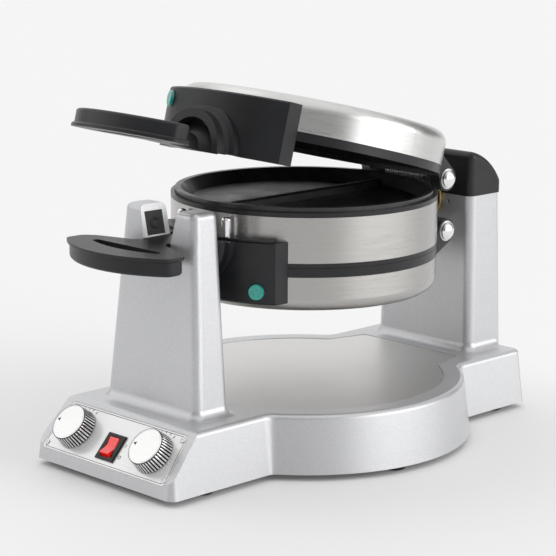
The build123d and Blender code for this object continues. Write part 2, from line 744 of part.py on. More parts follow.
# ---------------------------------------------------------------- front guide and rear hinge
def make_guide():
    """The steel plate between the two brackets, and the pins that line them up."""
    plate = sector(shell_radius + 0.1, 113.8, 33.0, -0.8, 0.8)
    pins = []
    for angle in (-guide_pin_angle, guide_pin_angle):
        place = Rot(0, 0, angle) * Pos(0, -guide_pin_circle, 0)
        plate -= place * Cylinder(guide_pin_radius, 8)
        pin = rod(guide_pin_radius, -guide_pin_length, guide_pin_length, "Z")
        pins.append(place * fillet(pin.edges().filter_by(GeomType.CIRCLE), 2.4))
    keep("guide_plate", place_unit(plate))
    keep("guide_pins", place_unit(Compound(children=pins)))


def hinge_ears():
    """The ears on the rear block that carry the two hinge pins."""
    ears = []
    for side in (-1, 1):
        inner, outer = side * 27.5, side * 33.5
        for up in (-1, 1):
            eye = rod(8.0, inner, outer, "X").moved(Location((0, hinge_distance, up * hinge_height)))
            corners = [(107.0, 3.0), (hinge_distance - 6, 5.0), (hinge_distance + 5.5, hinge_height - 5.8),
                       (hinge_distance - 5.5, hinge_height + 5.8), (107.0, 16.0)]
            web = make_face(Polyline(*[(0, y, up * z) for y, z in corners], close=True))
            web = extrude(web, 3.0, dir=(1, 0, 0), both=True)
            ears.append(eye + Pos((inner + outer) / 2, 0, 0) * web)
    return ears


def make_rear_block():
    pad = sector(shell_radius + 0.1, rotor_pad_face, 17.4, -16, 16, 90)
    boss = rod(12.0, 108, boss_end, "Y")
    boss = chamfer(boss.edges().filter_by(GeomType.CIRCLE).sort_by(Axis.Y)[-1:], 1.5)
    block = pad + boss
    for ear in hinge_ears():
        block += ear
    rib = make_face(Polyline((-24, 107), (24, 107), (11, 136), (-11, 136), close=True))
    block += extrude(rib, 2.0, both=True)
    block -= rod(shell_radius + 0.1, -30, 30, "Z")
    block -= rod(shaft_radius, 106, 160, "Y")
    for up in (-1, 1):
        bore = rod(hinge_pin_radius, -60, 60, "X")
        block -= Pos(0, hinge_distance, up * hinge_height) * bore
    screws = []
    for place in rotor_screw_places():
        block -= place * Pos(0, 0, -4) * Cylinder(1.6, 20)
        head = Pos(0, 0, -8.2) * Cylinder(3.4, 2.2)
        head = fillet(head.edges().sort_by(Axis.Z)[:1], 0.9)
        slot = Pos(0, 0, -9.3) * Box(8, 0.8, 1.4)
        screws.append(place * (head - slot + Pos(0, 0, -2.4) * Cylinder(1.6, 9.6)))
    keep("rear_hinge_block", place_unit(block))
    keep("hinge_block_screws", place_unit(Compound(children=screws)))
    shaft = tube(shaft_radius, shaft_bore, 106.5, shaft_end, "Y")
    keep("rotor_shaft", place_unit(shaft))
    collar = tube(14.0, shaft_radius, collar_start, collar_start + 5, "Y")
    keep("shaft_collar", place_unit(collar))


def make_hinge_pins():
    for up, name in ((1, "upper"), (-1, "lower")):
        pin = rod(hinge_pin_radius, -45, 45, "X")
        for side in (-1, 1):
            ball = Pos(side * (45.4 - dome_depth), 0, 0) * Sphere(dome_radius)
            head = ball & rod(hinge_head_radius, side * 43.4, side * 50, "X")
            pin += head.solid()
        keep(f"hinge_pin_{name}", place_unit(Pos(0, hinge_distance, up * hinge_height) * pin))


def make_springs():
    """Torsion springs that steady the lids, wound round the hinge pins."""
    for up, name in ((1, "upper"), (-1, "lower")):
        length = 44.0
        path = Helix(spring_pitch, length, spring_radius)
        wire = Plane(origin=path @ 0, z_dir=path % 0) * Circle(spring_wire)
        coil = Rot(0, 90, 0) * Pos(0, 0, -length / 2) * sweep(wire, path=path, is_frenet=True)
        keep(f"hinge_spring_{name}", place_unit(Pos(0, hinge_distance, up * hinge_height) * coil))


# ---------------------------------------------------------------- fork and tower fittings
def make_fork_fittings():
    front, rear = fork_front_at_axis + 0.6, fork_bottom[2] - 0.2
    liner = tube(fork_gap_radius, liner_radius, front, rear, "Y").moved(Location((0, 0, axis_z)))
    liner -= box((-30, -160, axis_z), (30, -100, axis_z + 30))
    keep("fork_liner", liner)
    pads = [fork_pad_shape(side, 0) for side in (-1, 1)]
    keep("fork_pads", Compound(children=pads))


def cap_profile(inset):
    """The rear cap's side view: upright front, top that falls away to the rear."""
    front = tower_top[1] - 0.5 + inset
    rear = tower_top[2] + 0.5 - inset
    low = tower_top_z + 0.1 - (5 if inset else 0)
    shoulder = (rear, 191 - inset * 0.5)
    middle = (186 - inset * 0.45, 208 - inset * 0.95)
    top = (front, cap_top_z - inset * 1.15)
    arc = ThreePointArc((0, *top), (0, *middle), (0, *shoulder))
    rest = Polyline((0, *shoulder), (0, rear, low), (0, front, low), (0, *top))
    return make_face(arc + rest)


def make_rear_cap():
    outer = extrude(cap_profile(0), cap_half_width, dir=(1, 0, 0), both=True)
    edges = [e for e in outer.edges() if e.center().Z > tower_top_z + 5]
    outer = fillet(edges, 5.0)
    inner = extrude(cap_profile(cap_wall), cap_half_width - cap_wall, dir=(1, 0, 0), both=True)
    cap = outer - inner
    cap -= rod(15.2, 150, 170, "Y").moved(Location((0, 0, axis_z)))
    keep("rear_cap", cap)


def bearing_screw_places():
    return [(x, z) for x in (-24, 24) for z in (-19, -2)]


def make_bearing():
    face = tower_top[1]
    flange = tube(18.5, shaft_radius + running_gap, face - 3.0, face - 0.6, "Y")
    flange = chamfer(flange.edges().filter_by(GeomType.CIRCLE).sort_by(Axis.Y)[:1], 0.8)
    sleeve = tube(14.8, shaft_radius + running_gap, face - 0.6, 171.0, "Y")
    keep("bearing_bush", (flange + sleeve).moved(Location((0, 0, axis_z))))
    plate_front = face + wall + 0.3
    plate = box((-30, plate_front, -24), (30, 171, 3.5))
    plate += rod(20, plate_front, 171.0, "Y") + rod(18, 171, 187, "Y")
    plate -= rod(14.95, 150, 171.2, "Y") + rod(shaft_radius + running_gap, 150, 200, "Y")
    screws = []
    for x, z in bearing_screw_places():
        plate -= rod(1.8, 160, 175, "Y").moved(Location((x, 0, z)))
        screw = rod(1.6, face + 0.8, 171, "Y") + rod(3.4, 171, 173, "Y")
        screw -= box((-2.8, 172.2, -0.4), (2.8, 174, 0.4))
        screws.append(Pos(x, 0, z) * screw)
    keep("bearing_block", Pos(0, 0, axis_z) * plate)
    keep("bearing_screws", Pos(0, 0, axis_z) * Compound(children=screws))


# ---------------------------------------------------------------- the whole machine
def main():
    make_base()
    make_tray()
    make_bottom_cover()
    make_feet()
    make_panel()
    make_dial(-1, "left")
    make_dial(1, "right")
    make_switch()
    make_electrics()
    make_fork_fittings()
    make_rear_cap()
    make_bearing()
    make_band()
    make_core()
    make_guide()
    make_rear_block()
    make_hinge_pins()
    make_springs()
    make_lid("lower", flip)
    make_lid("upper", ajar)
    for name, shape in nodes.items():
        export_step(shape, f"parts/{name}.step")


main()
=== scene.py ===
"""Looks for the rotary waffle and omelette maker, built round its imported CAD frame."""
import bpy
import bmesh
import json
import math
from mathutils import Matrix, Vector


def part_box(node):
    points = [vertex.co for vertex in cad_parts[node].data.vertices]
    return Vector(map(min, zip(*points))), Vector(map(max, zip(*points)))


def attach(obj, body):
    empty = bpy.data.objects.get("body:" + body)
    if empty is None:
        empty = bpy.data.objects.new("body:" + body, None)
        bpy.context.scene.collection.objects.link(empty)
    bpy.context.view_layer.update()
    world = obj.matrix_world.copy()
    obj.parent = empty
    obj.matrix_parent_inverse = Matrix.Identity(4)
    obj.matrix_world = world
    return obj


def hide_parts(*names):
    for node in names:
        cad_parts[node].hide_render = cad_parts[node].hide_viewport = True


MM = 0.001

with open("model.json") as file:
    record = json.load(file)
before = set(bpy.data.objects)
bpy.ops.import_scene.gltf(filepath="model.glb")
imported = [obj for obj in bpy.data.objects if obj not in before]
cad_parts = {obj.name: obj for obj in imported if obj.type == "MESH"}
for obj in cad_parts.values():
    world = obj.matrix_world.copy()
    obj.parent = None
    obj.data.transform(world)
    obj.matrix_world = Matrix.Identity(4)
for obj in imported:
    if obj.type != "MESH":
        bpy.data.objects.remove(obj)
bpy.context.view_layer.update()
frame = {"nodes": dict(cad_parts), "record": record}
joints = {joint["name"]: joint for joint in frame["record"]["behaviour"]["joints"]}

# ---------------------------------------------------------------- sizes of what is added here
knob_ribs = 40
knob_bore = 9.0 * MM            # inner radius of the dial's skirt
knob_low = 0.6 * MM             # the skirt's lower end above the control plate
knob_top = 11.0 * MM            # and its upper end
knob_foot = 16.6 * MM           # the skirt's radius at its lower end
knob_crown = 14.9 * MM          # and at its upper end
rib_depth = 0.62 * MM
disc_rise = 1.0 * MM            # the bright disc above the skirt
ink_low = 0.01 * MM             # printed marks start just clear of the plate
ink_high = 0.07 * MM
bracket_radius = 116.0 * MM     # from the unit's middle to a bracket's face
arm_pad_radius = 110.5 * MM     # from the unit's middle to a hinge arm's pad
arm_pad_height = 34.0 * MM
pad_lean = math.radians(12.8)   # how far the fork's cheeks open outwards
pad_face = 16.97 * MM           # from the middle of the fork to the middle of a pad's face
spring_radius = 5.4 * MM        # to the middle of the wire
spring_wire = 0.85 * MM         # the wire's own radius
spring_turns = 17

# ---------------------------------------------------------------- places read from the frame
unit_centre = Vector(joints["unit_spin"]["pos_m"])
lid_hinge = Vector(joints["upper_lid_hinge"]["pos_m"])
lid_open = -math.radians(joints["upper_lid_hinge"]["range_deg"][0])


def centre_of(node):
    low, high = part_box(node)
    return (Vector(low) + Vector(high)) / 2


def half_size(node):
    low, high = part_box(node)
    return (Vector(high) - Vector(low)) / 2


panel_normal = -Vector(joints["left_knob_turn"]["axis"]).normalized()
panel_up = panel_normal.cross(Vector((1, 0, 0))).normalized()
if panel_up.z < 0:
    panel_up = -panel_up


def on_panel(origin):
    """A frame on the sloping panel: X to the right, Y up the slope, Z out of it."""
    matrix = Matrix.Identity(4)
    for column, axis in enumerate((Vector((1, 0, 0)), panel_up, panel_normal)):
        matrix.col[column][:3] = axis
    matrix.translation = Vector(origin)
    return matrix


def in_unit(upper):
    """From the closed unit's own frame to the model, with the upper lid as it rests."""
    if not upper:
        return Matrix.Translation(unit_centre) @ Matrix.Rotation(math.pi, 4, "Y")
    swing = Matrix.Translation(lid_hinge) @ Matrix.Rotation(-lid_open, 4, "X")
    return swing @ Matrix.Translation(unit_centre - lid_hinge)


# ---------------------------------------------------------------- materials
class Look:
    """A procedural material in the making: a Principled shader and what feeds it."""

    def __init__(self, name, colour, metallic, roughness):
        self.material = bpy.data.materials.new(name)
        self.material.use_nodes = True
        self.nodes = self.material.node_tree.nodes
        self.shader = next(n for n in self.nodes if n.type == "BSDF_PRINCIPLED")
        self.value("Base Color", (*colour, 1))
        self.value("Metallic", metallic)
        self.value("Roughness", roughness)

    def value(self, socket, value):
        self.shader.inputs[socket].default_value = value

    def link(self, output, socket):
        self.material.node_tree.links.new(output, socket)

    def feed(self, output, socket):
        self.link(output, self.shader.inputs[socket])

    def node(self, kind, settings=(), inputs=()):
        made = self.nodes.new(kind)
        for name, value in dict(settings).items():
            setattr(made, name, value)
        for name, value in dict(inputs).items():
            if isinstance(value, bpy.types.NodeSocket):
                self.link(value, made.inputs[name])
            else:
                made.inputs[name].default_value = value
        return made

    def math(self, operation, first, second=0.0):
        made = self.node("ShaderNodeMath", {"operation": operation}, {0: first, 1: second})
        return made.outputs[0]

    def place(self):
        """The point being shaded, in the object's own frame."""
        return self.node("ShaderNodeTexCoord").outputs["Object"]

    def noise(self, vector, scale, detail=3.0, distortion=0.0):
        made = self.node("ShaderNodeTexNoise", {}, {"Vector": vector, "Scale": scale, "Detail": detail,
                                                    "Distortion": distortion})
        return made.outputs[0]

    def between(self, factor, low, high, start=0.3, end=0.7):
        made = self.node("ShaderNodeMapRange", {}, {"Value": factor, "From Min": start, "From Max": end,
                                                    "To Min": low, "To Max": high})
        return made.outputs[0]

    def blend(self, factor, first, second):
        made = self.node("ShaderNodeMix", {"data_type": "RGBA"})
        self.link(factor, made.inputs["Factor"])
        made.inputs[6].default_value = (*first, 1)
        made.inputs[7].default_value = (*second, 1)
        return made.outputs[2]

    def bump(self, height, strength, distance):
        made = self.node("ShaderNodeBump", {}, {"Height": height, "Strength": strength,
                                                "Distance": distance})
        return made.outputs["Normal"]


def around_unit(look, lid=False):
    """The shaded point in the closed unit's frame, whose Z is its axis of symmetry."""
    point = look.place()
    if lid:
        off = look.node("ShaderNodeVectorMath", {"operation": "SUBTRACT"}, {0: point, 1: lid_hinge})
        turned = look.node("ShaderNodeMapping", {}, {"Vector": off.outputs[0],
                                                     "Rotation": (lid_open, 0, 0)})
        back = look.node("ShaderNodeVectorMath", {"operation": "ADD"},
                         {0: turned.outputs[0], 1: lid_hinge - unit_centre})
        return back.outputs[0]
    off = look.node("ShaderNodeVectorMath", {"operation": "SUBTRACT"}, {0: point, 1: unit_centre})
    return off.outputs[0]


def turned_steel(name, colour, lid=False, roughness=(0.24, 0.38)):
    """Sheet steel brushed round the unit's axis."""
    look = Look(name, colour, 1.0, roughness[0])
    point = around_unit(look, lid)
    parts = look.node("ShaderNodeSeparateXYZ", {}, {0: point})
    x, y, z = parts.outputs
    angle = look.math("ARCTAN2", y, x)
    radius = look.math("SQRT", look.math("ADD", look.math("MULTIPLY", x, x),
                                         look.math("MULTIPLY", y, y)))
    across = look.math("ADD", radius, z)
    fine = look.node("ShaderNodeCombineXYZ", {}, {0: look.math("MULTIPLY", angle, 9.0),
                                                  1: look.math("MULTIPLY", across, 5200.0), 2: 0.0})
    coarse = look.node("ShaderNodeCombineXYZ", {}, {0: look.math("MULTIPLY", angle, 2.5),
                                                    1: look.math("MULTIPLY", across, 620.0), 2: 4.0})
    lines = look.noise(fine.outputs[0], 1.0, 2.0)
    bands = look.noise(coarse.outputs[0], 1.0, 3.0)
    both = look.math("ADD", look.math("MULTIPLY", lines, 0.6), look.math("MULTIPLY", bands, 0.4))
    look.feed(look.between(both, *roughness), "Roughness")
    darker = tuple(c * 0.86 for c in colour)
    look.feed(look.blend(look.between(both, 0.0, 1.0), darker, colour), "Base Color")
    look.feed(look.bump(both, 0.16, 0.00008), "Normal")
    look.value("Anisotropic", 0.55)
    look.value("Anisotropic Rotation", 0.25)
    tangent = look.node("ShaderNodeVectorMath", {"operation": "CROSS_PRODUCT"},
                        {0: (0, 0, 1), 1: point})
    look.feed(tangent.outputs[0], "Tangent")
    return look.material


def straight_steel(name, colour, along=(1, 0, 0), roughness=(0.26, 0.40), strength=0.15):
    """Flat steel brushed along one axis of the model."""
    look = Look(name, colour, 1.0, roughness[0])
    squeeze = [8.0 if part else 3800.0 for part in along]
    mapped = look.node("ShaderNodeMapping", {}, {"Vector": look.place(), "Scale": squeeze})
    lines = look.noise(mapped.outputs[0], 1.0, 3.0)
    cloud = look.noise(look.place(), 22.0, 3.0)
    both = look.math("ADD", look.math("MULTIPLY", lines, 0.7), look.math("MULTIPLY", cloud, 0.3))
    look.feed(look.between(both, *roughness), "Roughness")
    darker = tuple(c * 0.88 for c in colour)
    look.feed(look.blend(look.between(both, 0.0, 1.0), darker, colour), "Base Color")
    look.feed(look.bump(lines, strength, 0.00006), "Normal")
    return look.material


def silver_paint():
    """Satin silver lacquer with fine metal flakes."""
    look = Look("silver_paint", (0.56, 0.563, 0.575), 0.62, 0.36)
    flakes = look.node("ShaderNodeTexVoronoi", {}, {"Vector": look.place(), "Scale": 2600.0})
    shine = look.node("ShaderNodeSeparateColor", {}, {0: flakes.outputs["Color"]})
    look.feed(look.blend(shine.outputs[0], (0.55, 0.553, 0.565), (0.66, 0.663, 0.677)), "Base Color")
    cloud = look.noise(look.place(), 14.0, 4.0)
    look.feed(look.between(cloud, 0.33, 0.40), "Roughness")
    peel = look.noise(look.place(), 900.0, 2.0)
    look.feed(look.bump(peel, 0.05, 0.0001), "Normal")
    look.value("Coat Weight", 0.25)
    look.value("Coat Roughness", 0.22)
    return look.material


def moulded(name, colour, roughness, grain=1700.0, depth=0.14, coat=0.0):
    """Moulded plastic with the fine texture of its tool."""
    look = Look(name, colour, 0.0, roughness)
    look.value("Specular IOR Level", 0.34)
    speck = look.noise(look.place(), grain, 3.0)
    cloud = look.noise(look.place(), 30.0, 3.0)
    lighter = tuple(min(1.0, c * 1.35 + 0.004) for c in colour)
    look.feed(look.blend(look.between(cloud, 0.0, 1.0), colour, lighter), "Base Color")
    look.feed(look.between(speck, roughness - 0.05, roughness + 0.07), "Roughness")
    look.feed(look.bump(speck, depth, 0.00012), "Normal")
    look.value("Coat Weight", coat)
    look.value("Coat Roughness", 0.15)
    return look.material


def non_stick():
    """Dark baked coating, slightly pebbled, a little worn where food is turned."""
    look = Look("non_stick", (0.02, 0.02, 0.021), 0.0, 0.34)
    pebble = look.noise(look.place(), 1200.0, 4.0)
    wear = look.noise(look.place(), 60.0, 5.0, 0.6)
    look.feed(look.blend(look.between(wear, 0.0, 1.0, 0.45, 0.8), (0.014, 0.014, 0.015),
                         (0.034, 0.034, 0.035)), "Base Color")
    look.feed(look.between(wear, 0.27, 0.42), "Roughness")
    look.feed(look.bump(pebble, 0.22, 0.0001), "Normal")
    look.value("Specular IOR Level", 0.6)
    return look.material


def polished(name, colour, roughness=0.12, haze=0.06):
    """Bright plated or polished metal with faint handling haze."""
    look = Look(name, colour, 1.0, roughness)
    cloud = look.noise(look.place(), 160.0, 4.0)
    look.feed(look.between(cloud, roughness, roughness + haze), "Roughness")
    look.feed(look.blend(look.between(cloud, 0.0, 1.0), tuple(c * 0.94 for c in colour), colour),
              "Base Color")
    scratch = look.noise(look.place(), 1400.0, 2.0)
    look.feed(look.bump(scratch, 0.03, 0.00005), "Normal")
    return look.material


def panel_finish():
    """Bright satin plate, nearly white, with a very fine grain along X."""
    look = Look("panel_finish", (0.93, 0.93, 0.925), 0.35, 0.22)
    mapped = look.node("ShaderNodeMapping", {}, {"Vector": look.place(),
                                                 "Scale": (12.0, 5200.0, 5200.0)})
    lines = look.noise(mapped.outputs[0], 1.0, 2.0)
    look.feed(look.between(lines, 0.19, 0.28), "Roughness")
    look.feed(look.blend(look.between(lines, 0.0, 1.0), (0.90, 0.90, 0.90), (0.95, 0.95, 0.945)),
              "Base Color")
    look.feed(look.bump(lines, 0.04, 0.00004), "Normal")
    return look.material


def lens(name, colour, glow):
    """Tinted translucent plastic with the moulded facets behind it showing faintly."""
    look = Look(name, colour, 0.0, 0.12)
    cells = look.node("ShaderNodeTexVoronoi", {}, {"Vector": look.place(), "Scale": 620.0})
    depth = look.between(cells.outputs["Distance"], 0.0, 1.0, 0.1, 0.8)
    deep = tuple(c * 0.45 for c in colour)
    look.feed(look.blend(depth, colour, deep), "Base Color")
    look.value("Emission Color", (*colour, 1))
    look.value("Emission Strength", glow)
    look.value("Transmission Weight", 0.15)
    look.value("Coat Weight", 0.8)
    look.value("Coat Roughness", 0.05)
    haze = look.noise(look.place(), 500.0, 2.0)
    look.feed(look.between(haze, 0.10, 0.17), "Roughness")
    return look.material


def printed(name, colour):
    """Screen-printed ink: matt, with slightly uneven cover. Also used for the dark rings of painted
    shade round the dials' discs.
    """
    look = Look(name, colour, 0.0, 0.55)
    cover = look.noise(look.place(), 2600.0, 3.0)
    look.feed(look.blend(look.between(cover, 0.0, 1.0), colour, tuple(c + 0.03 for c in colour)),
              "Base Color")
    look.feed(look.between(cover, 0.48, 0.62), "Roughness")
    return look.material


def ribbed_metal_groove_shade():
    """Bright plated plastic with painted shade in the grooves between its ribs."""
    # the dark colour is painted shade for the grooves; the bright one is the plating's own colour
    bright, dark = (0.80, 0.80, 0.80), (0.012, 0.012, 0.013)
    look = Look("ribbed_metal_groove_shade", bright, 1.0, 0.20)
    sides = [look.node("ShaderNodeVectorMath", {"operation": "DOT_PRODUCT"}, {0: look.place(), 1: axis})
             for axis in (Vector((1, 0, 0)), panel_up)]
    across, up_slope = (side.outputs["Value"] for side in sides)
    angle = look.math("ARCTAN2", up_slope, across)
    wave = look.math("COSINE", look.math("MULTIPLY", angle, float(knob_ribs)))
    groove_shade_mask = look.between(wave, 0.0, 1.0, -0.25, 0.30)
    look.feed(look.blend(groove_shade_mask, dark, bright), "Base Color")
    grain = look.noise(look.place(), 1800.0, 2.0)
    look.feed(look.between(grain, 0.16, 0.30), "Roughness")
    look.feed(look.bump(grain, 0.08, 0.00005), "Normal")
    return look.material


materials = {
    "silver": silver_paint(),
    # one brushed steel in two colours: the darker copy is painted shade on middle_band and the lower
    # lid, the lighter copy is painted light on the upper lid
    "shaded_steel": turned_steel("band_steel", (0.50, 0.488, 0.472)),
    "lid": turned_steel("steel_painted_light", (0.70, 0.695, 0.685), lid=True),
    "tray": straight_steel("tray_steel", (0.74, 0.73, 0.715), roughness=(0.34, 0.46)),
    "plain": straight_steel("plain_steel", (0.55, 0.55, 0.55), along=(0, 1, 0)),
    "black": moulded("black_plastic", (0.011, 0.0115, 0.013), 0.36),
    "black_fine": moulded("black_fine", (0.014, 0.014, 0.016), 0.30, grain=2600.0, depth=0.06),
    "black_metal": moulded("black_metal", (0.022, 0.022, 0.024), 0.34, grain=900.0, depth=0.08),
    "rubber": moulded("rubber", (0.012, 0.012, 0.012), 0.70, grain=700.0, depth=0.3),
    "coating": non_stick(),
    "chrome": polished("chrome", (0.86, 0.86, 0.87), 0.08),
    "wire": polished("spring_wire", (0.55, 0.55, 0.56), 0.22, 0.1),
    "screw": polished("screw_steel", (0.70, 0.70, 0.71), 0.24, 0.1),
    "heater": moulded("heater_sheath", (0.10, 0.095, 0.09), 0.55, grain=600.0, depth=0.2),
    "brass": polished("bush_bronze", (0.62, 0.44, 0.20), 0.34, 0.12),
    "panel": panel_finish(),
    "face": straight_steel("knob_face", (0.88, 0.88, 0.87), roughness=(0.22, 0.32), strength=0.05),
    "ribs": ribbed_metal_groove_shade(),
    "red": lens("rocker_red", (0.80, 0.010, 0.006), 0.45),
    "teal": lens("lamp_teal", (0.0, 0.36, 0.30), 0.22),
    "switch": moulded("switch_black", (0.010, 0.010, 0.011), 0.22, grain=2400.0, depth=0.04),
    # real print, and also painted shade for the ring round each dial's disc
    "ink": printed("panel_ink_and_shade", (0.015, 0.015, 0.016)),
    "board": moulded("board_green", (0.02, 0.12, 0.05), 0.35, grain=500.0, coat=0.5),
    "ivory": moulded("terminal_ivory", (0.72, 0.70, 0.64), 0.42),
}

node_looks = {
    "silver": ["base_housing"],
    "tray": ["steel_tray"],
    # the darker copy of the steel, painted shade
    "shaded_steel": ["middle_band", "lower_lid_shell"],
    # the lighter copy of the steel, painted light
    "lid": ["upper_lid_shell"],
    "panel": ["control_panel"],
    "black": ["upper_bracket", "lower_bracket", "upper_handle", "lower_handle", "rear_cap",
              "bottom_cover", "fork_pads", "fork_liner"],
    "black_metal": ["rear_hinge_block", "upper_hinge_arm", "lower_hinge_arm", "guide_plate"],
    "coating": ["omelette_plate_middle", "waffle_plate_middle", "upper_lid_plate", "lower_lid_plate"],
    "black_fine": ["upper_lid_ring", "lower_lid_ring", "middle_trim_rings"],
    "chrome": ["hinge_pin_upper", "hinge_pin_lower", "guide_pins"],
    "plain": ["rotor_shaft", "shaft_collar", "middle_partition", "middle_thermostats",
              "bearing_block", "left_thermostat_control", "right_thermostat_control"],
    "brass": ["bearing_bush"],
    "heater": ["omelette_heater_middle", "waffle_heater_middle", "upper_lid_heater",
               "lower_lid_heater"],
    "screw": ["panel_screws", "cover_screws", "bearing_screws", "hinge_block_screws"],
    "rubber": ["rubber_feet", "cord_gland"],
    "switch": ["switch_case", "relays"],
    "red": ["power_rocker"],
    "teal": ["upper_lamp", "lower_lamp"],
    "board": ["control_board"],
    "ivory": ["terminal_block"],
}


def dress_cad():
    """Gives each CAD node its material, and leaves its shape alone."""
    for look, names in node_looks.items():
        for name in names:
            body = frame["nodes"][name]
            for slot in body.material_slots:
                slot.material = materials[look]


# ---------------------------------------------------------------- mesh helpers
def add_piece(name, bm, look, body, place=None, smooth=40):
    """Turns a bmesh into a piece that rides on a body."""
    bmesh.ops.recalc_face_normals(bm, faces=bm.faces)
    mesh = bpy.data.meshes.new(name)
    bm.to_mesh(mesh)
    bm.free()
    piece = bpy.data.objects.new(name, mesh)
    bpy.context.scene.collection.objects.link(piece)
    mesh.materials.append(materials[look])
    mesh.shade_smooth()
    mesh.set_sharp_from_angle(angle=math.radians(smooth))
    if place is not None:
        piece.matrix_world = place
    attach(piece, body)
    return piece


def lathe(bm, profile, steps=48, place=None, wave=None):
    """Turns a closed outline of (radius, height) points round Z; wave changes the radius."""
    rings = []
    place = place or Matrix.Identity(4)
    for i in range(steps):
        angle = 2 * math.pi * i / steps
        ring = []
        for radius, height in profile:
            grown = radius + (wave(angle, radius, height) if wave else 0.0)
            point = Vector((grown * math.cos(angle), grown * math.sin(angle), height))
            ring.append(bm.verts.new(place @ point))
        rings.append(ring)
    count = len(profile)
    for i in range(steps):
        here, after = rings[i], rings[(i + 1) % steps]
        for j in range(count):
            k = (j + 1) % count
            bm.faces.new((here[j], here[k], after[k], after[j]))
    bmesh.ops.remove_doubles(bm, verts=[v for ring in rings for v in ring], dist=1e-6)


def slab(bm, corners, low, high, place=None):
    """A flat plate with the given outline, between two heights."""
    place = place or Matrix.Identity(4)
    bottom = [bm.verts.new(place @ Vector((x, y, low))) for x, y in corners]
    top = [bm.verts.new(place @ Vector((x, y, high))) for x, y in corners]
    bm.faces.new(bottom[::-1])
    bm.faces.new(top)
    for i in range(len(corners)):
        j = (i + 1) % len(corners)
        bm.faces.new((bottom[i], bottom[j], top[j], top[i]))


def cut(piece, cutter_bm):
    """Takes a shape out of a piece and applies the result."""
    mesh = bpy.data.meshes.new("cutter")
    bmesh.ops.recalc_face_normals(cutter_bm, faces=cutter_bm.faces)
    cutter_bm.to_mesh(mesh)
    cutter_bm.free()
    cutter = bpy.data.objects.new("cutter", mesh)
    bpy.context.scene.collection.objects.link(cutter)
    cutter.matrix_world = piece.matrix_world
    modifier = piece.modifiers.new("cut", "BOOLEAN")
    modifier.object = cutter
    modifier.operation = "DIFFERENCE"
    modifier.solver = "EXACT"
    bpy.context.view_layer.update()
    result = piece.evaluated_get(bpy.context.evaluated_depsgraph_get())
    done = bpy.data.meshes.new_from_object(result)
    if not done.polygons:
        raise ValueError(f"nothing is left of {piece.name}")
    piece.modifiers.clear()
    piece.data = done
    bpy.data.objects.remove(cutter)


def rounded_profile(radius, low, high, edge, steps=5):
    """The outline of a disc with a rounded upper rim, from its axis outwards."""
    points = [(0.0, low), (radius, low)]
    for i in range(steps + 1):
        turn = math.pi / 2 * i / steps
        points.append((radius - edge + edge * math.cos(turn), high - edge + edge * math.sin(turn)))
    return points + [(0.0, high)]


# ---------------------------------------------------------------- dials
def skirt_outline():
    """Half the section of a dial's skirt, from its bore round the outside and back."""
    low, top, foot, crown = knob_low, knob_top, knob_foot, knob_crown
    outline = [(knob_bore, low), (foot - 0.5 * MM, low), (foot, low + 0.5 * MM)]
    for share in (0.1, 0.5, 0.92):
        outline.append((foot + (crown - foot) * share, low + (top - low) * share))
    return outline + [(crown - 0.35 * MM, top), (crown - 1.2 * MM, top + 0.15 * MM), (knob_bore, top)]


def rib(angle, radius, height):
    """How far a rib or groove moves a point on the skirt's outside."""
    outside = radius > knob_crown - 0.2 * MM
    between = knob_low + 0.3 * MM < height < knob_top - 0.05 * MM
    half = rib_depth * 0.5
    return half * math.cos(angle * knob_ribs) - half if outside and between else 0.0


def make_knob(side):
    """A dial: ribbed skirt, grooved bright disc, a dark ring of painted shade between them and a
    pointer.
    """
    body = f"{side}_knob"
    place = Matrix.Translation(joints[f"{side}_knob_turn"]["pos_m"])
    lean = on_panel((0, 0, 0))
    top, crown = knob_top, knob_crown

    skirt = bmesh.new()
    lathe(skirt, skirt_outline(), steps=knob_ribs * 8, place=lean, wave=rib)
    piece = add_piece(f"{side}_knob_skirt", skirt, "ribs", body, place, smooth=30)
    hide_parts(f"{side}_knob_body")

    disc = bmesh.new()
    disc_profile = rounded_profile(crown - 0.5 * MM, top - 0.5 * MM, top + disc_rise, 0.5 * MM)
    lathe(disc, disc_profile, 96, lean)
    cap = add_piece(f"{side}_knob_disc", disc, "face", body, place)
    groove = bmesh.new()
    outer, inner, floor, above = crown - 1.35 * MM, crown - 1.75 * MM, top + 0.85 * MM, top + 2 * MM
    lathe(groove, [(inner, floor), (outer, floor), (outer, above), (inner, above)], 96, lean)
    cut(cap, groove)
    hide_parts(f"{side}_knob_cap")

    # a dark ring at the disc's edge: painted shade for the gap between the disc and the skirt
    rim = bmesh.new()
    lathe(rim, [(crown - 0.62 * MM, top + 0.2 * MM), (crown - 0.12 * MM, top + 0.2 * MM),
                (crown - 0.12 * MM, top + 0.62 * MM), (crown - 0.34 * MM, top + 0.88 * MM),
                (crown - 0.62 * MM, top + 0.80 * MM)], 96, lean)
    add_piece(f"{side}_knob_shade_ring", rim, "ink", body, place)

    mark = bmesh.new()
    tip, tail, half = -crown + 2.6 * MM, -crown + 5.4 * MM, 1.5 * MM
    slab(mark, [(tip, 0), (tail, -half), (tail, half)], top + 0.96 * MM, top + 1.06 * MM, lean)
    add_piece(f"{side}_knob_pointer", mark, "ink", body, place)


def make_dial_marks(side):
    """Ticks beside a dial, growing longer and broader as the setting rises."""
    place = on_panel(joints[f"{side}_knob_turn"]["pos_m"])
    marks = bmesh.new()
    ticks, first, step = 5, 122, 15
    start = 17.9 * MM
    for i in range(ticks):
        turn = Matrix.Rotation(math.radians(first - step * i), 4, "Z")
        length = (1.2 + 0.30 * i) * MM
        half = (0.20 + 0.05 * i) * MM
        slab(marks, [(start, -half), (start + length, -half), (start + length, half), (start, half)],
             ink_low, ink_high, turn)
    add_piece(f"{side}_dial_marks", marks, "ink", "base", place)


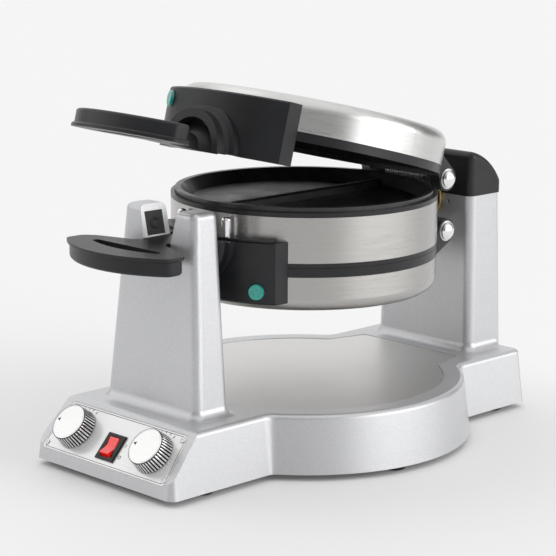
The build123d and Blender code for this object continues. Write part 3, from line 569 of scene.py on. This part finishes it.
def turn_of(first, second, third):
    """Above zero where three points of a plane turn to the left."""
    return ((second[0] - first[0]) * (third[1] - first[1])
            - (second[1] - first[1]) * (third[0] - first[0]))


def half_hull(ordered):
    """The lower hull of points in order, without its last point."""
    chain = []
    for point in ordered:
        while len(chain) > 1 and turn_of(chain[-2], chain[-1], point) <= 0:
            chain.pop()
        chain.append(point)
    return chain[:-1]


def plate_outline(inset):
    """The control plate's outline in its own plane, moved in by a distance."""
    plate = frame["nodes"]["control_panel"]
    place = on_panel(centre_of("control_panel"))
    points = [place.inverted() @ (plate.matrix_world @ vertex.co) for vertex in plate.data.vertices]
    top_face = max(point.z for point in points)
    on_top = [point for point in points if point.z > top_face - 0.2 * MM]
    flat = sorted({(round(point.x, 5), round(point.y, 5)) for point in on_top})
    hull = half_hull(flat) + half_hull(flat[::-1])
    middle = Vector((sum(x for x, _ in hull), sum(y for _, y in hull))) / len(hull)
    half_x = max(abs(x - middle.x) for x, _ in hull)
    half_y = max(abs(y - middle.y) for _, y in hull)
    moved = [((x - middle.x) * (1 - inset / half_x) + middle.x,
              (y - middle.y) * (1 - inset / half_y) + middle.y) for x, y in hull]
    return place, top_face, moved


def make_plate_border():
    """The thin printed line that runs round the control plate."""
    inset, width = 1.1 * MM, 0.45 * MM
    place, top_face, outer = plate_outline(inset)
    inner = plate_outline(inset + width)[2]
    bm = bmesh.new()
    count = len(outer)
    low, high = top_face + 0.005 * MM, top_face + 0.06 * MM
    rings = [[bm.verts.new((x, y, z)) for x, y in line]
             for line, z in ((outer, low), (outer, high), (inner, high), (inner, low))]
    for i in range(count):
        j = (i + 1) % count
        for k in range(4):
            here, there = rings[k], rings[(k + 1) % 4]
            bm.faces.new((here[i], here[j], there[j], there[i]))
    add_piece("plate_border", bm, "ink", "base", place)


def make_pad_screws():
    """A raised ring in the middle of each of the fork's pads, as round a screw's seat."""
    middle = centre_of("fork_pads")
    bm = bmesh.new()
    for side in (-1, 1):
        inward = Matrix.Rotation(side * (pad_lean - math.pi / 2), 4, "Y")
        place = Matrix.Translation((side * pad_face, middle.y, middle.z)) @ inward
        lathe(bm, [(2.6 * MM, -0.6 * MM), (4.6 * MM, -0.6 * MM), (4.6 * MM, 0.25 * MM),
                   (4.1 * MM, 0.6 * MM), (3.2 * MM, 0.6 * MM), (2.6 * MM, 0.1 * MM)], 40, place)
    add_piece("fork_pad_screws", bm, "black_metal", "base", None)


def make_switch_marks():
    """A bar and a ring beside the rocker, for on and off."""
    place = on_panel(joints["power_rocker_tilt"]["pos_m"])
    x, half = 12.8 * MM, 0.25 * MM
    bar_low, bar_high = 3.2 * MM, 6.0 * MM
    marks = bmesh.new()
    slab(marks, [(x - half, bar_low), (x + half, bar_low), (x + half, bar_high), (x - half, bar_high)],
         ink_low, ink_high)
    inner, outer = 1.0 * MM, 1.5 * MM
    lathe(marks, [(inner, ink_low), (outer, ink_low), (outer, ink_high), (inner, ink_high)], 40,
          Matrix.Translation((x, -5.2 * MM, 0)))
    add_piece("switch_marks", marks, "ink", "base", place)


# ---------------------------------------------------------------- hinge details
def make_spring(upper):
    """A torsion spring: close coils round the pin and a leg at each end."""
    name = "upper" if upper else "lower"
    node = f"hinge_spring_{name}"
    centre = centre_of(node)
    half = half_size(node).x - 1.6 * MM
    per_turn = 18
    steps = spring_turns * per_turn
    sign = 1 if upper else -1
    points = [(-half - 0.4 * MM, -12.0 * MM, -sign * 10.5 * MM), (-half, -4.0 * MM, -sign * 6.2 * MM)]
    for i in range(steps + 1):
        angle = 2 * math.pi * i / per_turn - sign * math.pi / 2
        points.append((-half + 2 * half * (i / steps), spring_radius * math.cos(angle),
                       spring_radius * math.sin(angle)))
    points += [(half, 4.0 * MM, -sign * 6.2 * MM), (half + 0.4 * MM, 7.5 * MM, -sign * 8.6 * MM)]
    curve = bpy.data.curves.new(node + "_wire", "CURVE")
    curve.dimensions = "3D"
    curve.bevel_depth = spring_wire
    curve.bevel_resolution = 4
    curve.use_fill_caps = True
    spline = curve.splines.new("POLY")
    spline.points.add(len(points) - 1)
    for target, point in zip(spline.points, points):
        target.co = (*(centre + Vector(point)), 1)
    coil = bpy.data.objects.new(node + "_coil", curve)
    bpy.context.scene.collection.objects.link(coil)
    curve.materials.append(materials["wire"])
    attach(coil, "cooking_unit")
    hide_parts(node)


def make_pin_washers(upper):
    """A thin washer under each domed head."""
    name = "upper" if upper else "lower"
    centre = centre_of(f"hinge_pin_{name}")
    reach = half_size(f"hinge_pin_{name}").x - 5.25 * MM
    along_pin = Matrix.Rotation(math.pi / 2, 4, "Y")
    bm = bmesh.new()
    for side in (-1, 1):
        place = Matrix.Translation((side * reach, 0, 0)) @ along_pin
        lathe(bm, [(3.1 * MM, -0.2 * MM), (8.4 * MM, -0.2 * MM), (8.4 * MM, 0.15 * MM),
                   (3.1 * MM, 0.15 * MM)], 48, place)
    add_piece(f"{name}_pin_washers", bm, "screw", "cooking_unit", Matrix.Translation(centre))


def screw_head(bm, radius, height, place):
    """A low domed head that stands on the place's XY plane."""
    lathe(bm, rounded_profile(radius, 0.0, height, height * 0.7), 32, place)


def cross_recess(bm, radius, top, place):
    """The cross that a driver fits, as one solid to be cut out of a head."""
    reach, half = radius * 0.55, radius * 0.13
    quarter = [(reach, -half), (reach, half), (half, half)]
    corners = []
    for _ in range(4):
        corners += quarter
        quarter = [(-y, x) for x, y in quarter]
    slab(bm, corners, top * 0.35, top * 1.5, place)


def screw_group(name, places, radius, height, look, body):
    """Screw heads at several places, as one piece."""
    heads = bmesh.new()
    recesses = bmesh.new()
    for place in places:
        screw_head(heads, radius, height, place)
        cross_recess(recesses, radius, height, place)
    piece = add_piece(name, heads, look, body, None)
    cut(piece, recesses)


def make_arm_screws(upper):
    """The two screws that hold a lid to its hinge arm."""
    name, body = ("upper", "upper_lid") if upper else ("lower", "cooking_unit")
    outward = Matrix.Rotation(-math.pi / 2, 4, "X")
    on_pad = Matrix.Translation((0, arm_pad_radius, arm_pad_height))
    places = []
    for angle in (-13, 13):
        radial = Matrix.Rotation(math.radians(angle), 4, "Z") @ on_pad
        places.append(in_unit(upper) @ radial @ outward)
    screw_group(f"{name}_arm_screws", places, 3.6 * MM, 1.9 * MM, "screw", body)


def lamp_spot():
    """The lamp's place on the bracket's face, in the closed unit's own frame."""
    offset = centre_of("lower_lamp") - unit_centre
    flat = Vector((-offset.x, offset.y)).normalized() * bracket_radius
    return Vector((flat.x, flat.y, -offset.z))


def make_lamp_ring(upper):
    """A thin dark collar round a lamp."""
    name, body = ("upper", "upper_lid") if upper else ("lower", "cooking_unit")
    spot = lamp_spot()
    angle = math.atan2(-spot.x, -spot.y)
    outward = Matrix.Rotation(-angle, 4, "Z") @ Matrix.Rotation(math.pi / 2, 4, "X")
    bm = bmesh.new()
    lathe(bm, [(5.9 * MM, -0.5 * MM), (6.9 * MM, -0.5 * MM), (6.8 * MM, 0.35 * MM),
               (6.3 * MM, 0.55 * MM), (5.9 * MM, 0.4 * MM)], 56)
    place = in_unit(upper) @ Matrix.Translation(spot) @ outward
    add_piece(f"{name}_lamp_ring", bm, "black_fine", body, place)


def make_gland_ribs():
    """The bend relief's ribs, inside the gland's flange."""
    centre = centre_of("cord_gland")
    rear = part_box("cord_gland")[1][1]
    turned = Matrix.Rotation(math.pi / 2, 4, "X")
    place = Matrix.Translation((centre.x, rear - 0.15 * MM, centre.z)) @ turned
    foot, tip = 0.45 * MM, 0.3 * MM
    bm = bmesh.new()
    for radius in (5.4 * MM, 7.4 * MM, 9.3 * MM):
        lathe(bm, [(radius - foot, 0.5 * MM), (radius + foot, 0.5 * MM),
                   (radius + tip, -0.1 * MM), (radius - tip, -0.1 * MM)], 48, place)
    add_piece("gland_ribs", bm, "rubber", "base", None)


# ---------------------------------------------------------------- studio
def make_floor():
    """A broad sheet of pale paper."""
    bm = bmesh.new()
    bmesh.ops.create_grid(bm, x_segments=1, y_segments=1, size=14.0)
    mesh = bpy.data.meshes.new("studio_floor")
    bm.to_mesh(mesh)
    bm.free()
    floor = bpy.data.objects.new("studio_floor", mesh)
    bpy.context.scene.collection.objects.link(floor)
    look = Look("floor_paper", (0.86, 0.86, 0.86), 0.0, 0.85)
    fibre = look.noise(look.place(), 300.0, 4.0)
    look.feed(look.blend(look.between(fibre, 0.0, 1.0), (0.855, 0.855, 0.855), (0.865, 0.865, 0.865)),
              "Base Color")
    look.value("Emission Color", (1, 1, 1, 1))
    look.value("Emission Strength", 0.06)
    look.value("Specular IOR Level", 0.1)
    mesh.materials.append(look.material)


def make_studio_light():
    """A soft surround that grows brighter towards each panel.

    A panel is a direction, the cosines where it starts and is full, and its strength.
    """
    world = bpy.data.worlds.new("studio")
    bpy.context.scene.world = world
    world.use_nodes = True
    tree = world.node_tree
    background = next(n for n in tree.nodes if n.type == "BACKGROUND")
    direction = tree.nodes.new("ShaderNodeTexCoord").outputs["Generated"]
    surround = 0.24
    total = None
    panels = [((0.0, 0.0, 1.0), 0.30, 0.95, 0.80),
              ((0.90, 0.42, 0.04), 0.72, 0.96, 3.0),
              ((-0.76, -0.62, 0.10), 0.80, 0.96, 0.85),
              ((-0.72, 0.66, 0.22), 0.72, 0.95, 0.65),
              ((-0.70, -0.25, 0.68), 0.80, 0.97, 0.45)]
    for aim, outer, inner, strength in panels:
        dot = tree.nodes.new("ShaderNodeVectorMath")
        dot.operation = "DOT_PRODUCT"
        tree.links.new(direction, dot.inputs[0])
        dot.inputs[1].default_value = Vector(aim).normalized()
        fade = tree.nodes.new("ShaderNodeMapRange")
        fade.interpolation_type = "SMOOTHSTEP"
        tree.links.new(dot.outputs["Value"], fade.inputs["Value"])
        fade.inputs["From Min"].default_value = outer
        fade.inputs["From Max"].default_value = inner
        fade.inputs["To Max"].default_value = strength
        add = tree.nodes.new("ShaderNodeMath")
        tree.links.new(fade.outputs[0], add.inputs[0])
        if total is None:
            add.inputs[1].default_value = surround
        else:
            tree.links.new(total, add.inputs[1])
        total = add.outputs[0]
    tree.links.new(total, background.inputs["Strength"])
    background.inputs["Color"].default_value = (1.0, 1.0, 1.0, 1)


def make_camera():
    """The camera, from its own axes: back points away from what it sees."""
    back = Vector((0.69408, -0.68932, 0.20758)).normalized()
    right = Vector((0.70349, 0.71066, 0.00766)).normalized()
    up = back.cross(right).normalized()
    matrix = Matrix.Identity(4)
    for column, axis in enumerate((right, up, back)):
        matrix.col[column][:3] = axis
    matrix.translation = (1.09305, -1.10200, 0.45686)
    data = bpy.data.cameras.new("camera")
    data.lens = 130.0
    data.sensor_width = 36.0
    data.clip_end = 60.0
    camera = bpy.data.objects.new("camera", data)
    bpy.context.scene.collection.objects.link(camera)
    camera.matrix_world = matrix
    bpy.context.scene.camera = camera


def main():
    dress_cad()
    for side in ("left", "right"):
        make_knob(side)
        make_dial_marks(side)
    make_switch_marks()
    make_plate_border()
    make_pad_screws()
    for upper in (True, False):
        make_spring(upper)
        make_pin_washers(upper)
        make_arm_screws(upper)
        make_lamp_ring(upper)
    make_gland_ribs()
    make_floor()
    make_studio_light()
    make_camera()
    scene = bpy.context.scene
    scene.view_settings.view_transform = "Standard"
    scene.view_settings.look = "None"


main()
